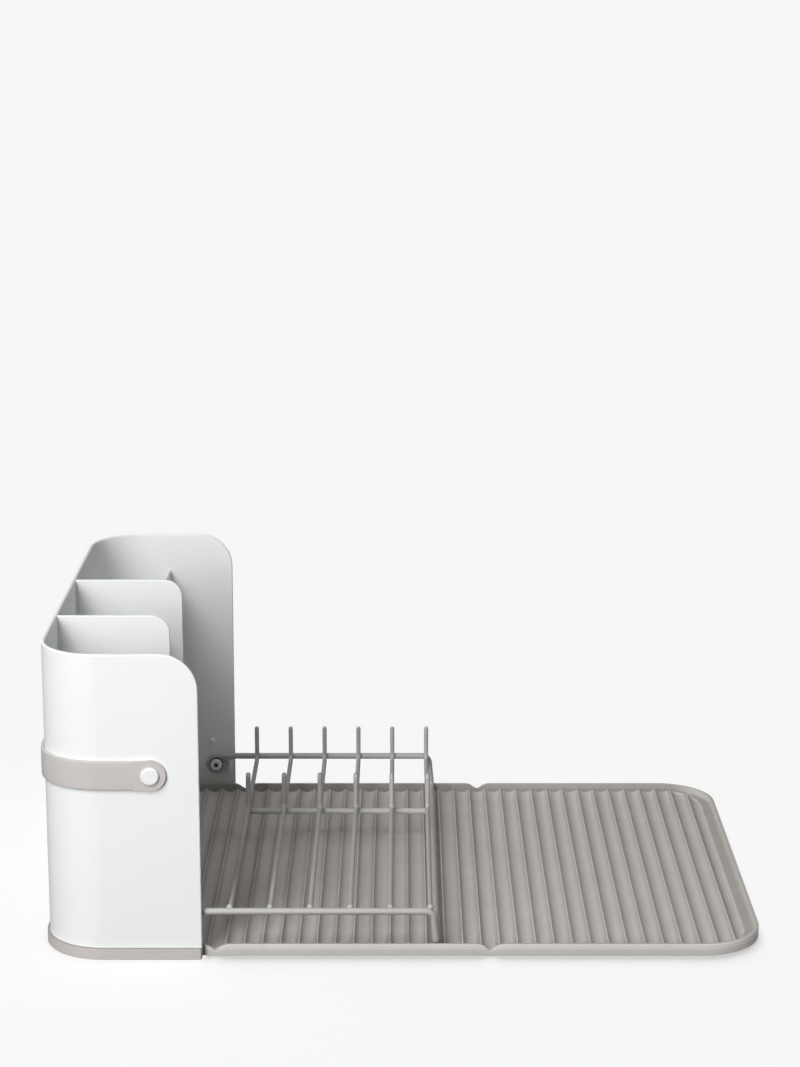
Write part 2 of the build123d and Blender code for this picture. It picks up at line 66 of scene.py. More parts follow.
def node_box(node):
    """A CAD node's lowest and highest corners in millimetres."""
    low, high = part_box(node)
    return low / MM, high / MM


def joint_at(name):
    """A joint's position in millimetres."""
    return Vector(JOINTS[name]["pos_m"]) / MM


# ---------------------------------------------------------------------------------------
# Sizes read from the frame, in millimetres
# ---------------------------------------------------------------------------------------
mat_high = node_box("mat_outer_panel")[1]
MAT_HALF_W = mat_high.y
MAT_END = mat_high.x
RIM_TOP = mat_high.z
HINGE_1_X = joint_at("mat_inner_fold").x
HINGE_2_X = joint_at("mat_outer_fold").x
GROOVE_Z = joint_at("mat_inner_fold").z
RIBS_PER_PANEL = 15
PITCH = (HINGE_2_X - HINGE_1_X) / RIBS_PER_PANEL
FIXED_BACK = node_box("base_boot")[1].x - 56.1

RIM_T = 3.4
CORNER_R = 50.0
CORNER_X = MAT_END - CORNER_R
CORNER_Y = MAT_HALF_W - CORNER_R
RIDGE_TOP = 5.3
RIDGE_FLAT = 0.6
LEDGE_Z = 4.2                # shelf between the grooves and the rim
LEDGE_W = 1.7                # its width along the sides
STEP_W = 0.5
NOTCH_INNER = (5.3, 0.66)    # lowest point and slope of the V in the rim at a hinge
NOTCH_OUTER = (4.3, 0.80)
NOTCH_ROUND = 3.0
SAGITTA = RIDGE_TOP - GROOVE_Z
HALF_CHORD = (PITCH - RIDGE_FLAT) / 2
SCALLOP_R = (HALF_CHORD ** 2 + SAGITTA ** 2) / (2 * SAGITTA)
END_LEDGE_X = HINGE_2_X + 14.2 * PITCH
RIM_CORNER_R = CORNER_R - RIM_T

STRAP_HIGH = node_box("closure_strap")[1]
BUTTON = joint_at("strap_swing")
SHELL_LOW, SHELL_HIGH = node_box("caddy_shell")
RACK_LOW = node_box("rack_frame")[0]


# ---------------------------------------------------------------------------------------
# Materials
# ---------------------------------------------------------------------------------------
def math_node(tree, operation, a, b=None):
    node = tree.nodes.new("ShaderNodeMath")
    node.operation = operation
    for socket, value in zip(node.inputs, (a, b)):
        if value is None:
            continue
        if isinstance(value, (int, float)):
            socket.default_value = value
        else:
            tree.links.new(value, socket)
    return node.outputs[0]


NOISE_ROUGHNESS = 0.55


def noise(tree, scale, detail=3.0, stretch=(1, 1, 1)):
    """Noise in the object's own coordinates, so that it stays on the piece as it moves."""
    place = tree.nodes.new("ShaderNodeTexCoord")
    mapping = tree.nodes.new("ShaderNodeMapping")
    mapping.inputs["Scale"].default_value = stretch
    tree.links.new(place.outputs["Object"], mapping.inputs["Vector"])
    texture = tree.nodes.new("ShaderNodeTexNoise")
    texture.inputs["Scale"].default_value = scale
    texture.inputs["Detail"].default_value = detail
    texture.inputs["Roughness"].default_value = NOISE_ROUGHNESS
    tree.links.new(mapping.outputs["Vector"], texture.inputs["Vector"])
    return texture.outputs["Fac"]


def span(tree, value, low, high, out_low, out_high):
    """value mapped from low..high to out_low..out_high, held at the ends."""
    node = tree.nodes.new("ShaderNodeMapRange")
    for name, number in (("From Min", low), ("From Max", high),
                         ("To Min", out_low), ("To Max", out_high)):
        node.inputs[name].default_value = number
    tree.links.new(value, node.inputs["Value"])
    return node.outputs["Result"]


def tint(tree, color, factor):
    """The colour made lighter or darker by a factor near 1."""
    node = tree.nodes.new("ShaderNodeVectorMath")
    node.operation = "SCALE"
    node.inputs[0].default_value = color
    tree.links.new(factor, node.inputs["Scale"])
    return node.outputs[0]


def bump(tree, height, distance, strength=1.0, under=None):
    node = tree.nodes.new("ShaderNodeBump")
    node.inputs["Strength"].default_value = strength
    node.inputs["Distance"].default_value = distance
    tree.links.new(height, node.inputs["Height"])
    if under is not None:
        tree.links.new(under, node.inputs["Normal"])
    return node.outputs["Normal"]


def start_material(name, specular=0.5):
    material = bpy.data.materials.new(name)
    material.use_nodes = True
    shader = material.node_tree.nodes["Principled BSDF"]
    shader.inputs["Specular IOR Level"].default_value = specular
    return material, material.node_tree, shader


def shell_plastic():
    """Satin white moulded plastic: fine spark texture and faint level flow lines."""
    material, tree, shader = start_material("shell_plastic", 0.4)
    cloud = span(tree, noise(tree, 14), 0.3, 0.7, 0.988, 1.006)
    lines = span(tree, noise(tree, 1.0, 4, (9, 9, 620)), 0.3, 0.7, 0.995, 1.004)
    shade = math_node(tree, "MULTIPLY", cloud, lines)
    tree.links.new(tint(tree, (0.872, 0.889, 0.880), shade), shader.inputs["Base Color"])
    rough = span(tree, noise(tree, 60, 4), 0.3, 0.7, 0.42, 0.52)
    tree.links.new(rough, shader.inputs["Roughness"])
    grain = bump(tree, noise(tree, 2200, 2), 0.00002, 0.35)
    relief = bump(tree, noise(tree, 1.0, 3, (9, 9, 620)), 0.000008, 0.15, grain)
    tree.links.new(relief, shader.inputs["Normal"])
    return material


def soft_rubber(name, color, low_rough, high_rough, grain_depth, mottle=0.03):
    """Matte moulded rubber: mottled, with a fine grain."""
    material, tree, shader = start_material(name, 0.35)
    cloud = span(tree, noise(tree, 22, 5), 0.3, 0.7, 1 - mottle, 1 + mottle)
    specks = span(tree, noise(tree, 900, 3), 0.35, 0.65, 0.975, 1.02)
    shade = math_node(tree, "MULTIPLY", cloud, specks)
    tree.links.new(tint(tree, color, shade), shader.inputs["Base Color"])
    rough = span(tree, noise(tree, 45, 4), 0.3, 0.7, low_rough, high_rough)
    tree.links.new(rough, shader.inputs["Roughness"])
    coarse = bump(tree, noise(tree, 420, 4), grain_depth, 0.4)
    fine = bump(tree, noise(tree, 2600, 2), grain_depth / 2, 0.5, coarse)
    tree.links.new(fine, shader.inputs["Normal"])
    return material


# Bands across the mat's rim where its painted shade and painted highlights change, as distances from the line one
# corner radius inside its outline
SHELF_BAND = (44.6, 44.9)
RIM_TOP_BAND = (47.0, 47.4)
RIM_OUTSIDE_BAND = (49.4, 49.9)


def from_corner_centre(tree, axes):
    """Distance from the line that runs one corner radius inside the mat's outline."""
    width = math_node(tree, "ABSOLUTE", axes.outputs["Y"], 0)
    y = math_node(tree, "MAXIMUM", math_node(tree, "SUBTRACT", width, CORNER_Y * MM), 0)
    length = math_node(tree, "SUBTRACT", axes.outputs["X"], CORNER_X * MM)
    x = math_node(tree, "MAXIMUM", length, 0)
    squares = math_node(tree, "ADD", math_node(tree, "MULTIPLY", x, x),
                        math_node(tree, "MULTIPLY", y, y))
    return math_node(tree, "SQRT", squares, 0)


def mat_rubber():
    """The drying mat: grey rubber with painted shade in the creases beside the ridges, on the shelf, on the rim's
    inner face and on the rim's top, and painted highlights on the ridge tops and the rim's outer face.
    """
    color = (0.537, 0.510, 0.483)
    material = soft_rubber("mat_rubber", color, 0.62, 0.74, 0.00004)
    tree = material.node_tree
    shader = tree.nodes["Principled BSDF"]
    place = tree.nodes.new("ShaderNodeTexCoord")
    axes = tree.nodes.new("ShaderNodeSeparateXYZ")
    tree.links.new(place.outputs["Object"], axes.inputs["Vector"])
    height = axes.outputs["Z"]
    outward = from_corner_centre(tree, axes)
    # Painted shade up the sides of the grooves towards each ridge, and a painted highlight along each ridge top;
    # neither reaches the shelf and rim.
    crease = span(tree, height, 2.5 * MM, 4.7 * MM, 1.02, 0.70)
    ridge = span(tree, height, 4.9 * MM, 5.15 * MM, 0.70, 1.12)
    beyond = span(tree, outward, SHELF_BAND[0] * MM, SHELF_BAND[1] * MM, 0, 1)
    grooves = math_node(tree, "MAXIMUM", math_node(tree, "MAXIMUM", crease, ridge), beyond)
    # Painted shade on the shelf and the rim's inner face, weaker towards the free end.
    shelf = span(tree, outward, 44.55 * MM, 44.85 * MM, 0, 1)
    top = span(tree, outward, 46.95 * MM, 47.4 * MM, 1, 0)
    depth = span(tree, axes.outputs["X"], (CORNER_X + 15) * MM, (MAT_END - 12) * MM, 0.46, 0.14)
    shaded = math_node(tree, "MULTIPLY", math_node(tree, "MULTIPLY", shelf, top), depth)
    inside = math_node(tree, "SUBTRACT", 1, shaded)
    # Painted shade on the rim's top and a painted highlight on the rim's outer face.
    flat = span(tree, outward, RIM_TOP_BAND[0] * MM, RIM_TOP_BAND[1] * MM, 1.0, 0.82)
    outside = span(tree, outward, RIM_OUTSIDE_BAND[0] * MM, RIM_OUTSIDE_BAND[1] * MM, 0.82, 1.12)
    rim = math_node(tree, "MULTIPLY", inside, math_node(tree, "MAXIMUM", flat, outside))
    rubbed = span(tree, noise(tree, 70, 5), 0.35, 0.65, 0.985, 1.015)
    # All the painted shade and painted highlights, times a faint random mottle.
    painted_light_and_mottle = math_node(tree, "MULTIPLY", math_node(tree, "MULTIPLY", grooves, rim), rubbed)
    base = shader.inputs["Base Color"].links[0].from_node
    shade = base.inputs["Scale"].links[0].from_socket
    tree.links.new(math_node(tree, "MULTIPLY", shade, painted_light_and_mottle), base.inputs["Scale"])
    return material


def boot_rubber():
    """The base boot: warm grey rubber with painted shade along the top edge beside the shell."""
    color = (0.560, 0.528, 0.507)
    material = soft_rubber("boot_rubber", color, 0.58, 0.70, 0.00003, 0.02)
    tree = material.node_tree
    shader = tree.nodes["Principled BSDF"]
    place = tree.nodes.new("ShaderNodeTexCoord")
    axes = tree.nodes.new("ShaderNodeSeparateXYZ")
    tree.links.new(place.outputs["Object"], axes.inputs["Vector"])
    top = node_box("base_boot")[1].z * MM
    # Painted shade on the top edge, where the shell above shades it.
    painted_ledge_shade = span(tree, axes.outputs["Z"], top - 0.35 * MM, top - 0.1 * MM, 1.0, 0.62)
    base = shader.inputs["Base Color"].links[0].from_node
    shade = base.inputs["Scale"].links[0].from_socket
    tree.links.new(math_node(tree, "MULTIPLY", shade, painted_ledge_shade), base.inputs["Scale"])
    return material


def coated_wire():
    """Steel wire in a satin grey powder coat with a faint orange peel."""
    material, tree, shader = start_material("coated_wire", 0.5)
    cloud = span(tree, noise(tree, 30, 4), 0.3, 0.7, 0.97, 1.03)
    specks = span(tree, noise(tree, 1500, 2), 0.35, 0.65, 0.96, 1.03)
    shade = math_node(tree, "MULTIPLY", cloud, specks)
    tree.links.new(tint(tree, (0.475, 0.467, 0.460), shade), shader.inputs["Base Color"])
    rough = span(tree, noise(tree, 120, 4), 0.3, 0.7, 0.36, 0.48)
    tree.links.new(rough, shader.inputs["Roughness"])
    peel = bump(tree, noise(tree, 480, 2), 0.00006, 0.5)
    tree.links.new(bump(tree, noise(tree, 2400, 2), 0.00002, 0.4, peel), shader.inputs["Normal"])
    return material


def white_hardware():
    """Small glossier white mouldings: buttons, washers and bushes."""
    material, tree, shader = start_material("white_hardware", 0.5)
    cloud = span(tree, noise(tree, 90, 3), 0.3, 0.7, 0.985, 1.01)
    tree.links.new(tint(tree, (0.880, 0.895, 0.888), cloud), shader.inputs["Base Color"])
    rough = span(tree, noise(tree, 200, 3), 0.3, 0.7, 0.28, 0.38)
    tree.links.new(rough, shader.inputs["Roughness"])
    tree.links.new(bump(tree, noise(tree, 2500, 2), 0.00001, 0.3), shader.inputs["Normal"])
    return material


def screw_metal():
    """Light grey plated screw with faint turning marks; its pale grey is partly the plating's own colour and
    partly painted reflection that stands in for the metal's bright sheen.
    """
    material, tree, shader = start_material("screw_metal", 0.5)
    cloud = span(tree, noise(tree, 160, 4), 0.3, 0.7, 0.94, 1.03)
    # Pale grey base colour: partly painted reflection standing in for the plated metal's sheen.
    tree.links.new(tint(tree, (0.90, 0.91, 0.91), cloud), shader.inputs["Base Color"])
    rough = span(tree, noise(tree, 1.0, 4, (300, 3000, 3000)), 0.3, 0.7, 0.30, 0.45)
    tree.links.new(rough, shader.inputs["Roughness"])
    tree.links.new(bump(tree, noise(tree, 3000, 2), 0.00001, 0.4), shader.inputs["Normal"])
    return material


def dark_gap():
    """Near-black colour: painted shade in the screw's socket and in the gap round its head."""
    material, tree, shader = start_material("dark_gap", 0.3)
    cloud = span(tree, noise(tree, 400, 3), 0.3, 0.7, 0.9, 1.1)
    # Near-black base colour as painted shade.
    tree.links.new(tint(tree, (0.035, 0.034, 0.033), cloud), shader.inputs["Base Color"])
    rough = span(tree, noise(tree, 300, 3), 0.3, 0.7, 0.55, 0.7)
    tree.links.new(rough, shader.inputs["Roughness"])
    return material


MATERIALS = {
    "shell_plastic": shell_plastic(),
    "boot_rubber": boot_rubber(),
    "mat_rubber": mat_rubber(),
    "strap_elastic": soft_rubber("strap_elastic", (0.560, 0.535, 0.525), 0.50, 0.62, 0.00002,
                                 0.015),
    "coated_wire": coated_wire(),
    "white_hardware": white_hardware(),
    "screw_metal": screw_metal(),
    "dark_gap": dark_gap(),
}


def paint_cad_nodes():
    """Every CAD node gets the finished material of its slot."""
    for entry in frame["record"]["subparts"]:
        node = frame["nodes"][entry["node"]]
        node.data.materials.clear()
        node.data.materials.append(MATERIALS[entry["material_slot"]])


# ---------------------------------------------------------------------------------------
# Mesh helpers
# ---------------------------------------------------------------------------------------
def finish_mesh(name, mesh_builder, slot, smooth_angle=38, material=None):
    """Turns a bmesh in millimetres into a shown, smooth-shaded object."""
    bmesh.ops.recalc_face_normals(mesh_builder, faces=mesh_builder.faces)
    bmesh.ops.scale(mesh_builder, vec=(MM, MM, MM), verts=mesh_builder.verts)
    mesh = bpy.data.meshes.new(name)
    mesh_builder.to_mesh(mesh)
    mesh_builder.free()
    mesh.polygons.foreach_set("use_smooth", [True] * len(mesh.polygons))
    mesh.set_sharp_from_angle(angle=math.radians(smooth_angle))
    piece = bpy.data.objects.new(name, mesh)
    bpy.context.scene.collection.objects.link(piece)
    piece.data.materials.append(MATERIALS[material or slot])
    return piece


# ---------------------------------------------------------------------------------------
# Drying mat
# ---------------------------------------------------------------------------------------
def smooth_min(a, b, radius):
    """The smaller of two heights, with the corner between them rounded."""
    h = max(radius - abs(a - b), 0) / radius
    return min(a, b) - h * h * radius / 4


def rim_height(x, outward):
    """Top of the rim, which has a V with rounded shoulders at each hinge."""
    nearest = min(abs(x - HINGE_1_X), abs(x - HINGE_2_X))
    low = NOTCH_INNER[0] + outward * (NOTCH_OUTER[0] - NOTCH_INNER[0])
    slope = NOTCH_INNER[1] + outward * (NOTCH_OUTER[1] - NOTCH_INNER[1])
    return smooth_min(low + slope * (math.hypot(nearest, 1) - 1), RIM_TOP, NOTCH_ROUND)


def floor_height(x):
    """Scalloped floor of the mat: round grooves between narrow ridges."""
    turn = (x - HINGE_1_X) / PITCH
    offset = min(abs(turn - round(turn)) * PITCH, HALF_CHORD)
    height = GROOVE_Z + SCALLOP_R - math.sqrt(SCALLOP_R ** 2 - offset ** 2)
    return smooth_min(height, RIDGE_TOP, 0.25)


def rib_columns(start, end):
    """Stations along the mat: close together at the ridges, wide apart in the grooves."""
    steps = (0.0, 0.16, 0.3, 0.42, 0.65, 1.1, 1.9, 3.0, 4.2, 5.7)
    stations = set()
    first = math.floor((start - HINGE_1_X) / PITCH) - 1
    last = math.ceil((end - HINGE_1_X) / PITCH) + 1
    for k in range(first, last):
        ridge = HINGE_1_X + (k + 0.5) * PITCH
        for step in steps:
            stations.update((round(ridge - step, 4), round(ridge + step, 4)))
        stations.add(round(ridge + PITCH / 2, 4))
    return sorted(s for s in stations if start + 0.05 < s < end - 0.05)


def edge_lines(x, width):
    """Distance from the grooves' end and height of each line of the ledge and the rim."""
    floor = floor_height(x)
    ledge = max(LEDGE_Z, floor)
    inner = rim_height(x, 0)
    outer = rim_height(x, 1)
    return [
        (0.4 * STEP_W, floor + 0.25 * (ledge - floor)),
        (0.8 * STEP_W, floor + 0.85 * (ledge - floor)),
        (STEP_W, ledge),
        (width - 0.15, ledge),
        (width, ledge + 0.06 * (inner - ledge)),
        (width + 0.30, inner - 0.16 * (inner - ledge)),
        (width + 0.50, inner - 0.03 * (inner - ledge)),
        (width + 0.80, inner),
        (width + RIM_T - 0.8, outer),
        (width + RIM_T - 0.3, outer - 0.18),
        (width + RIM_T - 0.05, outer - 0.6),
        (width + RIM_T, outer - 1.1),
        (width + RIM_T, 0.7),
        (width + RIM_T - 0.15, 0.2),
        (width + RIM_T - 0.6, 0.0),
    ]


def mat_mesh(stations, rounded_end):
    """A closed stretch of the mat. Its end is a cut across the mat, or the rounded free end."""
    builder = bmesh.new()
    groove_half = MAT_HALF_W - RIM_T - LEDGE_W
    bend_x = END_LEDGE_X - CORNER_X
    bend_y = groove_half - CORNER_Y
    across = 12

    def lean(x):
        """Turn of the outline at a station: 0 along a side, a quarter turn at the free end."""
        if not rounded_end or x <= CORNER_X:
            return 0.0
        return math.asin(min((x - CORNER_X) / bend_x, 1))

    def edge_column(vert, x, side):
        turn = lean(x)
        away = Vector((math.sin(turn), side * math.cos(turn)))
        if turn > 0:
            foot = Vector((CORNER_X, side * CORNER_Y)) + RIM_CORNER_R * away
        else:
            foot = Vector((x, side * (MAT_HALF_W - RIM_T)))
        return outward_column(vert, x, foot, away)

    def outward_column(vert, x, foot, away):
        start = vert.co.xy
        width = (foot - start).length
        column = [vert]
        for distance, z in edge_lines(x, width):
            if distance <= width:
                spot = start.lerp(foot, distance / width)
            else:
                spot = foot + away * (distance - width)
            column.append(builder.verts.new((spot.x, spot.y, z)))
        return column

    grid = []
    for x in stations:
        reach = groove_half
        if lean(x) > 0:
            reach = CORNER_Y + bend_y * math.cos(lean(x))
        z = floor_height(x)
        grid.append([builder.verts.new((x, reach * (2 * j / across - 1), z))
                     for j in range(across + 1)])
    for left, right in zip(grid, grid[1:]):
        for j in range(across):
            builder.faces.new((left[j], right[j], right[j + 1], left[j + 1]))

    near = [edge_column(column[0], x, -1) for x, column in zip(stations, grid)]
    far = [edge_column(column[-1], x, 1) for x, column in zip(stations, grid)]
    runs = [near, far]
    if rounded_end:
        rim_foot_x = CORNER_X + RIM_CORNER_R
        middle = [outward_column(vert, stations[-1], Vector((rim_foot_x, vert.co.y)),
                                 Vector((1, 0))) for vert in grid[-1][1:-1]]
        runs = [near + middle + far[::-1]]
    for run in runs:
        for a, b in zip(run, run[1:]):
            for k in range(len(a) - 1):
                builder.faces.new((a[k], a[k + 1], b[k + 1], b[k]))
    for i in range(len(stations) - 1):
        if rounded_end and i == len(stations) - 2:
            end_line = [column[-1] for column in [near[-1]] + middle + [far[-1]]]
            builder.faces.new([near[i][-1]] + end_line + [far[i][-1]])
        else:
            builder.faces.new((near[i][-1], near[i + 1][-1], far[i + 1][-1], far[i][-1]))
    ends = [0] if rounded_end else [0, -1]
    for i in ends:
        builder.faces.new(near[i][:0:-1] + grid[i] + far[i][1:])
    return builder


def make_mat():
    """Three stiff panels and two strips over the hinges, cut apart at the tops of ridges."""
    edge = PITCH / 2
    cuts = (FIXED_BACK, HINGE_1_X - edge, HINGE_1_X + edge, HINGE_2_X - edge, HINGE_2_X + edge)
    for name, start, end, body in (
        ("mat_fixed", cuts[0], cuts[1], "caddy"),
        ("mat_inner", cuts[2], cuts[3], "mat_inner"),
    ):
        stations = [start] + rib_columns(start, end) + [end]
        piece = finish_mesh(name, mat_mesh(stations, False), "mat_rubber")
        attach(piece, body)
        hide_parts(f"{name}_panel")

    end_turns = [math.radians(90 - turn) for turn in (0, 3, 7, 12, 18, 25, 32, 39)]
    end_stations = [CORNER_X + (END_LEDGE_X - CORNER_X) * math.sin(turn) for turn in end_turns]
    stations = [cuts[4]] + rib_columns(cuts[4], END_LEDGE_X) + end_stations
    piece = finish_mesh("mat_outer", mat_mesh(sorted(stations), True), "mat_rubber")
    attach(piece, "mat_outer")
    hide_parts("mat_outer_panel")

    for name, hinge, before, after in (
        ("mat_hinge_1", HINGE_1_X, "caddy", "mat_inner"),
        ("mat_hinge_2", HINGE_2_X, "mat_inner", "mat_outer"),
    ):
        close = [hinge + 0.4 * k for k in range(-9, 10)]
        wide = [x for x in rib_columns(hinge - edge, hinge + edge) if abs(x - hinge) > 3.8]
        stations = sorted([hinge - edge, hinge + edge] + close + wide)
        piece = finish_mesh(name, mat_mesh(stations, False), "mat_rubber")
        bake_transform(piece)


STUD_PROUD = 1.5
TONGUE_LAP = 1.0             # how far the tongue reaches into the mat's fixed stretch
TONGUE_INSET = 15.0
TONGUE_UNDERSIDE = 2.0


def make_mat_tongue():
    """Tongue under the compartments that holds the mat to the base boot."""
    low = node_box("mat_fixed_panel")[0]
    top = node_box("mat_studs")[1].z - STUD_PROUD
    builder = bmesh.new()
    bmesh.ops.create_cube(builder, size=1)
    front = FIXED_BACK + TONGUE_LAP
    size = (front - low.x, 2 * (MAT_HALF_W - TONGUE_INSET), top - TONGUE_UNDERSIDE)
    middle = ((front + low.x) / 2, 0, (top + TONGUE_UNDERSIDE) / 2)
    bmesh.ops.scale(builder, vec=size, verts=builder.verts)
    bmesh.ops.translate(builder, vec=middle, verts=builder.verts)
    bmesh.ops.bevel(builder, geom=builder.edges[:], offset=0.5, segments=2, affect="EDGES")
    piece = finish_mesh("mat_tongue", builder, "mat_rubber")
    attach(piece, "caddy")


# ---------------------------------------------------------------------------------------
# Closure strap
# ---------------------------------------------------------------------------------------
STRAP_GAP = 0.2
STRAP_T = STRAP_HIGH.y - SHELL_HIGH.y - STRAP_GAP
STRAP_HALF_H = 12.0
STRAP_EDGE = 0.9
STRAP_CROWN = 0.12           # the strap is thickest along its middle
STRAP_JOIN_X = BUTTON.x - 12.7
STRAP_CORNER_R = 48.2


def strap_section():
    """Outward and upward offsets of the strap's section, which has rounded edges."""
    points = []
    corners = (
        (STRAP_T - STRAP_CROWN - STRAP_EDGE, STRAP_HALF_H - STRAP_EDGE, 0),
        (STRAP_EDGE, STRAP_HALF_H - STRAP_EDGE, 90),
        (STRAP_EDGE, -STRAP_HALF_H + STRAP_EDGE, 180),
        (STRAP_T - STRAP_CROWN - STRAP_EDGE, -STRAP_HALF_H + STRAP_EDGE, 270),
    )
    for out, up, start in corners:
        for k in range(5):
            turn = math.radians(start + 22.5 * k)
            points.append((out + STRAP_EDGE * math.cos(turn), up + STRAP_EDGE * math.sin(turn)))
        if start == 270:
            for share in (-0.66, -0.33, 0, 0.33, 0.66):
                points.append((STRAP_T - STRAP_CROWN * share ** 2, share * STRAP_HALF_H))
    return points


def strap_path():
    """Points along the inner face of the strap with their outward directions."""
    half = SHELL_HIGH.y + STRAP_GAP
    back = SHELL_LOW.x - STRAP_GAP
    centre_x = back + STRAP_CORNER_R
    centre_y = half - STRAP_CORNER_R
    path = []
    arm_steps, corner_steps, back_steps = 6, 20, 40
    for k in range(arm_steps + 1):
        x = STRAP_JOIN_X + (centre_x - STRAP_JOIN_X) * k / arm_steps
        path.append((x, -half, 0, -1))
    for k in range(1, corner_steps):
        turn = math.radians(90 * k / corner_steps)
        path.append((centre_x - STRAP_CORNER_R * math.sin(turn),
                     -centre_y - STRAP_CORNER_R * math.cos(turn),
                     -math.sin(turn), -math.cos(turn)))
    for k in range(back_steps + 1):
        path.append((back, -centre_y + 2 * centre_y * k / back_steps, -1, 0))
    one_end = path[:arm_steps + corner_steps]
    mirrored = [(x, -y, nx, -ny) for x, y, nx, ny in reversed(one_end)]
    return path + mirrored


def make_strap():
    """Band round the back of the caddy, carried by the strap."""
    builder = bmesh.new()
    section = strap_section()
    loops = []
    for x, y, nx, ny in strap_path():
        loops.append([builder.verts.new((x + nx * out, y + ny * out, BUTTON.z + up))
                      for out, up in section])
    count = len(section)
    for a, b in zip(loops, loops[1:]):
        for k in range(count):
            builder.faces.new((a[k], a[(k + 1) % count], b[(k + 1) % count], b[k]))
    builder.faces.new(loops[0])
    builder.faces.new(loops[-1])
    band = finish_mesh("strap_band", builder, "strap_elastic")
    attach(band, "strap")
    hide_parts("closure_strap")
    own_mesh(band)
    for name, side in (("strap_ring_near", -1), ("strap_ring_far", 1)):
        make_strap_ring(name, side)


RING_R = 12.5
RING_HOLE_R = 5.2
RING_ARC_STEPS = 26
RING_EDGE_STEPS = 5


def make_strap_ring(name, side):
    """Round end of the strap with the hole that the button's neck goes through."""
    inner_face = SHELL_HIGH.y + STRAP_GAP
    arc_end = math.pi - math.asin(STRAP_HALF_H / RING_R)
    corner = math.atan2(STRAP_HALF_H, STRAP_JOIN_X - BUTTON.x)
    arc = [arc_end * k / RING_ARC_STEPS for k in range(RING_ARC_STEPS + 1)]
    joint = [corner + (math.pi - corner) * k / RING_EDGE_STEPS
             for k in range(RING_EDGE_STEPS + 1)]
    turns = arc + joint
    turns += [2 * math.pi - turn for turn in reversed(turns[1:-1])]
    reaches = [RING_R] * len(arc)
    reaches += [(STRAP_JOIN_X - BUTTON.x) / math.cos(turn) for turn in joint]
    reaches += list(reversed(reaches[1:-1]))
    builder = bmesh.new()
    layers = []
    for depth in (0, STRAP_T):
        rows = []
        for share in (0.0, 0.5, 1.0):
            rows.append([builder.verts.new((
                BUTTON.x + (RING_HOLE_R + share * (reach - RING_HOLE_R)) * math.cos(turn),
                side * (inner_face + depth),
                BUTTON.z + (RING_HOLE_R + share * (reach - RING_HOLE_R)) * math.sin(turn)))
                for turn, reach in zip(turns, reaches)])
        layers.append(rows)
    count = len(turns)
    for k in range(count):
        n = (k + 1) % count
        for rows in layers:
            for a, b in zip(rows, rows[1:]):
                builder.faces.new((a[k], a[n], b[n], b[k]))
        for index in (0, -1):
            low, high = layers[0][index], layers[1][index]
            builder.faces.new((low[k], low[n], high[n], high[k]))
    rim = []
    for edge in builder.edges:
        a, b = edge.verts
        flat = abs(a.co.y - b.co.y) < 1e-6
        folded = edge.calc_face_angle(0) > 1.0
        joined = max(a.co.x, b.co.x) < STRAP_JOIN_X + 0.01
        if flat and folded and not joined:
            rim.append(edge)
    bmesh.ops.bevel(builder, geom=rim, offset=STRAP_EDGE * 0.85, segments=3, affect="EDGES",
                    clamp_overlap=True)
    piece = finish_mesh(name, builder, "strap_elastic", 50)
    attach(piece, "strap")


# ---------------------------------------------------------------------------------------
# Weld beads on the rack
# ---------------------------------------------------------------------------------------
BEAD_R = 2.8
BEAD_Z = 38.4
BEAD_FROM_RACK_EDGE = 7.75


def make_weld_beads():
    """A small bead of coated weld where each plate wire meets the near rail."""
    builder = bmesh.new()
    y = RACK_LOW.y + BEAD_FROM_RACK_EDGE
    for i in range(6):
        low, high = node_box(f"plate_wire_{i + 1}")
        x = (low.x + high.x) / 2
        bead = bmesh.ops.create_icosphere(builder, subdivisions=3, radius=BEAD_R)
        bmesh.ops.scale(builder, vec=(1, 1.1, 1), verts=bead["verts"])
        bmesh.ops.translate(builder, vec=(x, y, BEAD_Z), verts=bead["verts"])
    piece = finish_mesh("weld_beads", builder, "coated_wire")
    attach(piece, "rack")


# ---------------------------------------------------------------------------------------
# Small parts on the caddy's side walls
# ---------------------------------------------------------------------------------------
def add_tube(builder, centre, inner_r, outer_r, y_from, y_to):
    """A flat ring round an axis that runs front to back, or a disc if inner_r is 0."""
    sides = 40
    turns = [2 * math.pi * k / sides for k in range(sides)]
    lines = []
    for radius, y in ((inner_r, y_from), (outer_r, y_from), (outer_r, y_to), (inner_r, y_to)):
        if radius > 0:
            lines.append([builder.verts.new((centre.x + radius * math.cos(turn), y,
                                             centre.z + radius * math.sin(turn)))
                          for turn in turns])
    for k in range(sides):
        n = (k + 1) % sides
        for a, b in zip(lines, lines[1:]):
            builder.faces.new((a[k], a[n], b[n], b[k]))
        if inner_r > 0:
            builder.faces.new((lines[-1][k], lines[-1][n], lines[0][n], lines[0][k]))
    if inner_r == 0:
        builder.faces.new(lines[0])
        builder.faces.new(lines[-1][::-1])


SOCKET_R = 1.9
# Near-black ring of painted shade round each screw head.
SHADE_RING_INNER_R, SHADE_RING_OUTER_R = 5.2, 6.3
SHADE_RING_FRONT, SHADE_RING_BACK = 2.2, 3.0    # distances behind the screw's head


